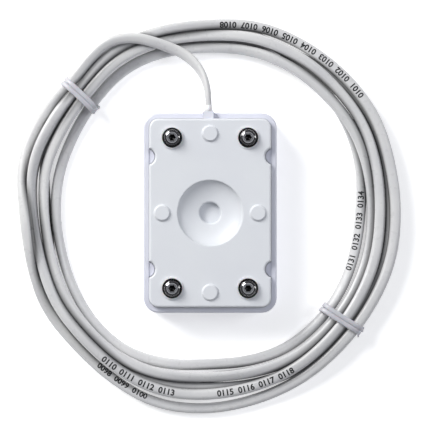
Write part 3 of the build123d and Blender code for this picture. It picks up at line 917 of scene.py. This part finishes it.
def tie_surface(settings, angle, knot_side, lean):
    """A flattened strand along a double loop: in the upright plane across the bundle the loop is a
    superellipse, |u/a|^3 + |v/b|^3 = 1, round the strands, and its two laps lie a strand's width apart
    along the bundle, with a trefoil knot where they end."""
    middle, half_span, top = (value * MM for value in bundle_section(angle))
    half_strand, half_thickness = settings.strand_width / 2, settings.strand_thickness / 2
    a = half_span + half_thickness
    base = half_thickness
    b = (top + half_thickness - base) / 2
    count = 220
    start = 0.0 if knot_side > 0 else math.pi
    t = np.linspace(0.0, 4 * math.pi, count)
    psi = start + t
    power = 2.0 / 3.0
    u = a * np.sign(np.cos(psi)) * np.abs(np.cos(psi)) ** power
    v = b * np.sign(np.sin(psi)) * np.abs(np.sin(psi)) ** power + base + b
    cross = np.clip((t / math.pi - 1.55) / 0.8, 0, 1)
    cross = cross * cross * (3 - 2 * cross)
    spread = half_strand * 0.98 * (1 + 0.22 * np.abs(np.cos(psi)) ** 6)
    w = spread * (2 * cross - 1) + lean * u
    w = w + 0.0003 * np.sin(psi) * np.cos(psi) ** 2
    tilt = math.radians(angle)
    outwards = np.array([math.cos(tilt), math.sin(tilt), 0.0])
    along = np.array([-math.sin(tilt), math.cos(tilt), 0.0])
    centre = np.array([BUNDLE_CENTRE[0] * MM, BUNDLE_CENTRE[1] * MM, 0.0]) + outwards * middle
    path = centre + u[:, None] * outwards + v[:, None] * np.array([0.0, 0.0, 1.0]) + w[:, None] * along
    # even out the spacing along the loop
    run = np.concatenate([[0], np.cumsum(np.linalg.norm(np.diff(path, axis=0), axis=1))])
    even = np.linspace(0, run[-1], count)
    path = np.stack([np.interp(even, run, path[:, k]) for k in range(3)], -1)
    tangent = unit(np.gradient(path, axis=0))
    normal = unit(np.cross(tangent, along))
    wide = np.cross(normal, tangent)
    n = 14
    ring = np.arange(n) * 2 * math.pi / n
    profile = np.stack(
        [
            half_strand * np.sign(np.cos(ring)) * np.abs(np.cos(ring)) ** 0.8,
            half_thickness * np.sign(np.sin(ring)) * np.abs(np.sin(ring)) ** 0.8,
        ],
        -1,
    )
    parts = [swept(path, wide, normal, profile)]
    # the knot and its two short tails
    s = np.linspace(0, 2 * math.pi, 90, endpoint=False)
    knot = np.stack([np.sin(s) + 2 * np.sin(2 * s), np.cos(s) - 2 * np.cos(2 * s), -np.sin(3 * s)], -1)
    at = centre + outwards * knot_side * (a - 0.0002) + np.array([0, 0, 1.0]) * (base + 1.55 * b)
    basis = np.stack([along, np.array([0, 0, 1.0]), outwards])
    loop = at + knot * KNOT_SCALE @ basis
    parts.append(closed_tube(loop, KNOT_RADIUS, 8))
    for way in (-1, 1):
        f = np.linspace(0, 1, 12)[:, None]
        tail = (
            at
            + along * way * (0.0004 + 0.0010 * f)
            + outwards * knot_side * 0.0007 * f**2
            + np.array([0, 0, 1.0]) * (0.0005 * f - 0.0012 * f**2)
        )
        _, side, up = upright_frames(tail)
        parts.append(swept(tail, side, up, circle(KNOT_RADIUS, 8)))
    return gather(parts)


def closed_tube(points, radius, count):
    """A round tube along a closed loop: each ring is the point plus the radius times the cosine of the
    two directions square to the loop there."""
    tangent = unit(np.roll(points, -1, 0) - np.roll(points, 1, 0))
    middle = points.mean(0)
    side = unit(np.cross(tangent, points - middle))
    up = np.cross(side, tangent)
    profile = circle(radius, count)
    rings = points[:, None] + profile[None, :, :1] * side[:, None] + profile[None, :, 1:] * up[:, None]
    corners, faces = rings.reshape(-1, 3), grid_faces(len(points), count, closed_rings=True)
    if enclosed_volume(corners, faces) < 0:
        faces = faces[:, ::-1]
    return corners, faces


class LEAKSENSOR_OT_free_end(bpy.types.Operator):
    """Red and black cores out of the jacket's end, each with its stripped strands"""

    bl_idname = "leaksensor.free_end"
    bl_label = "Free end"

    def execute(self, context):
        heading = np.array(FREE_END_HEADING)
        across = np.array([-heading[1], heading[0], 0.0])
        start = np.array(FREE_END) * MM
        copper = surface(
            "bare_copper", (0.72, 0.34, 0.18), shade=0.8, rough=(0.2, 0.35), cloud=700.0,
            metallic=1.0,
        )
        strands = []
        for name, node, slot, side, colour in (
            ("free_red_wire", "free_red_core", "core_red", 1, RED),
            ("free_black_wire", "free_black_core", "core_black", -1, BLACK),
        ):
            material = surface(name, colour, shade=0.8, rough=(0.22, 0.34), cloud=220.0)
            f = np.linspace(0, 1, 40)
            spread = 0.00075 + 0.0004 * f**2
            line = (
                start
                + heading * (WIRE_LENGTH * f)[:, None]
                + across * (side * spread)[:, None]
                + np.array([0, 0, 1.0]) * (0.0001 * np.sin(3 * f + side))[:, None]
            )
            _, right, up = upright_frames(line)
            outline = circle(WIRE_RADIUS, 20) * np.ones((40, 1, 1))
            outline[-2:] *= np.array([0.97, 0.86])[:, None, None]
            piece = make_piece(name, *swept(line, right, up, outline), [material])
            close_poles(piece)
            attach(piece, BODY)
            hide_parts(node)
            g = np.linspace(0, 1, 48)
            away = unit(line[-1] - line[-3])
            core = line[-1] + away * (STRIPPED_LENGTH * g)[:, None]
            _, right, up = upright_frames(core)
            for k in range(7):
                turn = 2 * math.pi * (k / 6 + 1.4 * g)
                reach = 0.0 if k == 6 else 0.00023 * (1 + 0.25 * g**3)
                wire = core + (reach * np.cos(turn))[:, None] * right + (reach * np.sin(turn))[:, None] * up
                _, wire_side, wire_up = upright_frames(wire)
                strands.append(swept(wire, wire_side, wire_up, circle(STRAND_RADIUS, 8)))
        piece = make_piece("stripped_strands", *gather(strands), [copper])
        close_poles(piece)
        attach(piece, BODY)
        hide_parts("stripped_ends")
        return {"FINISHED"}


class LEAKSENSOR_OT_collar(bpy.types.Operator):
    """A short flared collar where the cable leaves the grommet"""

    bl_idname = "leaksensor.collar"
    bl_label = "Cable collar"

    def execute(self, context):
        cable = context.scene.leak_sensor.cable
        points, broad, up, run, _ = cable_line()
        last = np.searchsorted(run, COLLAR_LENGTH)
        f = run[:last] / run[last - 1]
        margin = COLLAR_SKIN + COLLAR_FLARE * (1 - f) ** 2
        outlines = np.stack([stadium(cable.width + 2 * m, cable.thickness + 2 * m, 40) for m in margin])
        material = surface(
            "collar_vinyl", (0.82, 0.82, 0.83), shade=0.95, rough=(0.3, 0.45), cloud=200.0, soft=0.1
        )
        piece = make_piece(
            "cable_collar", *swept(points[:last], broad[:last], up[:last], outlines), [material]
        )
        close_poles(piece)
        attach(piece, BODY)
        return {"FINISHED"}


class LEAKSENSOR_OT_marks(bpy.types.Operator):
    """Plain running figures printed on the jacket's broad side"""

    bl_idname = "leaksensor.marks"
    bl_label = "Length marks"

    def execute(self, context):
        cable = context.scene.leak_sensor.cable
        points, broad, up, run, turned = cable_line()
        tangent = unit(np.gradient(points, axis=0))
        ink = surface("print_ink", cable.ink, shade=0.7, rough=(0.45, 0.6), cloud=600.0)
        corners, faces, count = [], [], 0
        for angle, first, many in MARK_RUNS:
            words = "  ".join(f"{number:04d}" for number in range(first, first + many))
            glyphs, shapes = figure_shapes(words, cable.mark_height)
            s = np.interp(angle, turned, run) + glyphs[:, 0]
            place = np.stack([np.interp(s, run, points[:, k]) for k in range(3)], -1)
            wide = unit(np.stack([np.interp(s, run, broad[:, k]) for k in range(3)], -1))
            out = unit(np.stack([np.interp(s, run, up[:, k]) for k in range(3)], -1))
            ahead = unit(np.stack([np.interp(s, run, tangent[:, k]) for k in range(3)], -1))
            flip = np.where(np.sum(np.cross(ahead, -wide) * out, -1) > 0, -1.0, 1.0)[:, None]
            height = crowned_height(glyphs[:, 1:2], cable.width, cable.thickness) + PRINT_STANDOFF
            corners.append(place + wide * flip * glyphs[:, 1:2] + out * height)
            faces += [[i + count for i in shape] for shape in shapes]
            count += len(glyphs)
        mesh = bpy.data.meshes.new("length_marks")
        mesh.from_pydata(np.concatenate(corners).tolist(), [], faces)
        mesh.materials.append(ink)
        mesh.update()
        piece = bpy.data.objects.new("length_marks", mesh)
        context.scene.collection.objects.link(piece)
        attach(piece, BODY)
        return {"FINISHED"}


def figure_shapes(words, size):
    """Corners (along, across) and polygons of a line of figures in the built-in typeface, centred across."""
    text = bpy.data.curves.new("figures", "FONT")
    text.body = words
    text.size = size * 1.4
    text.resolution_u = 3
    text.offset = size * 0.045
    holder = bpy.data.objects.new("figures", text)
    bpy.context.scene.collection.objects.link(holder)
    mesh = bpy.data.meshes.new_from_object(holder)
    work = bmesh.new()
    work.from_mesh(mesh)
    for _ in range(3):
        long_edges = [edge for edge in work.edges if edge.calc_length() > GLYPH_EDGE]
        bmesh.ops.subdivide_edges(work, edges=long_edges, cuts=1)
        bmesh.ops.triangulate(work, faces=work.faces)
    work.to_mesh(mesh)
    work.free()
    flat = corner_places(mesh)[:, :2]
    flat[:, 1] -= (flat[:, 1].min() + flat[:, 1].max()) / 2
    shapes = [list(polygon.vertices) for polygon in mesh.polygons]
    bpy.data.objects.remove(holder)
    bpy.data.curves.remove(text)
    bpy.data.meshes.remove(mesh)
    return flat, shapes


class LEAKSENSOR_OT_cable(bpy.types.Operator):
    """The flat two-core cable from the grommet through its coil to its free end"""

    bl_idname = "leaksensor.cable"
    bl_label = "Cable"

    def execute(self, context):
        cable = context.scene.leak_sensor.cable
        points, broad, up, run, _ = cable_line()
        outline = stadium(cable.width, cable.thickness, 28)
        jacket = surface(
            "cable_jacket", cable.jacket, shade=0.93, cast=(0.995, 0.995, 1.01), rough=(0.26, 0.4),
            cloud=90.0, grain=1500.0, depth=0.00003, coat=0.1, coat_rough=0.3,
        )
        # painted shade: the jacket goes nearly black where turns lie close, standing in for the shadow in the
        # gaps between strands
        paint_shade_in_creases(jacket, (0.015, 0.015, 0.016))
        piece = make_piece("lead_cable", *swept(points, broad, up, outline), [jacket])
        close_poles(piece)
        # The crease attribute carries the painted shade: how deep each corner lies between touching turns.
        depth = crease_depth(corner_places(piece.data))
        crease = piece.data.attributes.new("crease", "FLOAT", "POINT")
        crease.data.foreach_set("value", depth.astype(np.float32))
        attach(piece, BODY)
        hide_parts("cable_lead", "cable_coil")
        print("cable runs", round(run[-1], 4), "m")
        return {"FINISHED"}


class LEAKSENSOR_PT_panel(bpy.types.Panel):
    """Buttons and settings of the leak sensor"""

    bl_idname = "LEAKSENSOR_PT_panel"
    bl_label = "Leak Sensor"
    bl_space_type = "VIEW_3D"
    bl_region_type = "UI"
    bl_category = "Leak Sensor"

    def draw(self, context):
        settings = context.scene.leak_sensor
        for group in ("stage", "case", "ties", "cable"):
            box = self.layout.box()
            values = getattr(settings, group)
            for name in values.bl_rna.properties.keys():
                if name not in ("rna_type", "name"):
                    box.prop(values, name)
        for operator in OPERATORS:
            self.layout.operator(operator.bl_idname)


OPERATORS = (
    LEAKSENSOR_OT_stage,
    LEAKSENSOR_OT_case,
    LEAKSENSOR_OT_ties,
    LEAKSENSOR_OT_free_end,
    LEAKSENSOR_OT_collar,
    LEAKSENSOR_OT_marks,
    LEAKSENSOR_OT_cable,
)
CLASSES = (
    LeakSensorCable,
    LeakSensorTies,
    LeakSensorCase,
    LeakSensorStage,
    LeakSensorSettings,
    *OPERATORS,
    LEAKSENSOR_PT_panel,
)


def register():
    for cls in CLASSES:
        bpy.utils.register_class(cls)
    bpy.types.Scene.leak_sensor = bpy.props.PointerProperty(type=LeakSensorSettings)


def unregister():
    del bpy.types.Scene.leak_sensor
    for cls in reversed(CLASSES):
        bpy.utils.unregister_class(cls)


def main():
    """Registers the classes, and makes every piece."""
    register()
    bpy.ops.leaksensor.stage()
    bpy.ops.leaksensor.case()
    bpy.ops.leaksensor.ties()
    bpy.ops.leaksensor.free_end()
    bpy.ops.leaksensor.collar()
    bpy.ops.leaksensor.marks()
    bpy.ops.leaksensor.cable()


if __name__ == "__main__":
    main()
